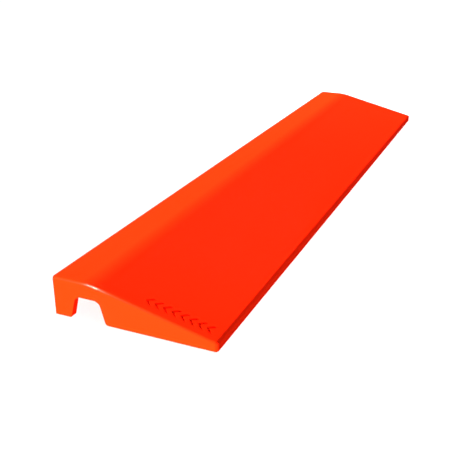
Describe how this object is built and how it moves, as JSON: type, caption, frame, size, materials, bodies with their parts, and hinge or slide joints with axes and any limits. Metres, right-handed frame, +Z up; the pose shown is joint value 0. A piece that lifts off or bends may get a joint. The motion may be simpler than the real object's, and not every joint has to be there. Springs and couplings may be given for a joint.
{
  "type": "cable protector ramp",
  "caption": "Low plastic edge ramp: a long slope up to a level top, with an open cable channel under its high back side, cross webs and ribs below, and push-in rubber grip feet.",
  "frame": {"origin": "on the floor under the middle of the ramp", "axes": "+X along the ramp, +Y towards its high back face, +Z up"},
  "size_m": [1, 0.1968, 0.0464],
  "materials": {
    "orange_plastic": "satin moulded plastic",
    "foot_rubber": "matt moulded rubber"
  },
  "bodies": {
    "root": {"ramp_body": "orange_plastic", "grip_foot_channel_1": "foot_rubber", "grip_foot_channel_2": "foot_rubber", "grip_foot_channel_3": "foot_rubber", "grip_foot_channel_4": "foot_rubber", "grip_foot_channel_5": "foot_rubber", "grip_foot_nose_1": "foot_rubber", "grip_foot_nose_2": "foot_rubber", "grip_foot_nose_3": "foot_rubber", "grip_foot_nose_4": "foot_rubber", "grip_foot_nose_5": "foot_rubber"}
  },
  "joints": []
}
